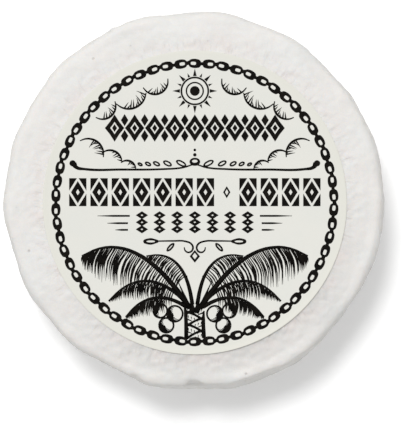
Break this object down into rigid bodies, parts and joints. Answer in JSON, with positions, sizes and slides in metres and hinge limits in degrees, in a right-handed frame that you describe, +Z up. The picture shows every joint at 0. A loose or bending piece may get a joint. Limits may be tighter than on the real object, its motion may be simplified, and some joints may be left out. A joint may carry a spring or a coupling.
{
  "type": "shaving soap puck",
  "caption": "Round hand-trimmed cake of white shaving soap with worn edges and a round printed paper label stuck on its top face.",
  "frame": {"origin": "middle of the flat base that the puck rests on", "axes": "+Z straight up out of the labelled face, +Y towards the top of the label's print, +X to the right of the print"},
  "size_m": [0.0628, 0.0622, 0.0212],
  "materials": {
    "soap": "hard white soap, satin, faintly mottled",
    "adhesive": "dried clear adhesive",
    "label_paper": "uncoated off-white label paper",
    "ink": "black printing ink on label paper"
  },
  "bodies": {
    "root": {"soap_puck": "soap", "label_adhesive": "adhesive", "label_paper": "label_paper"}
  },
  "joints": []
}
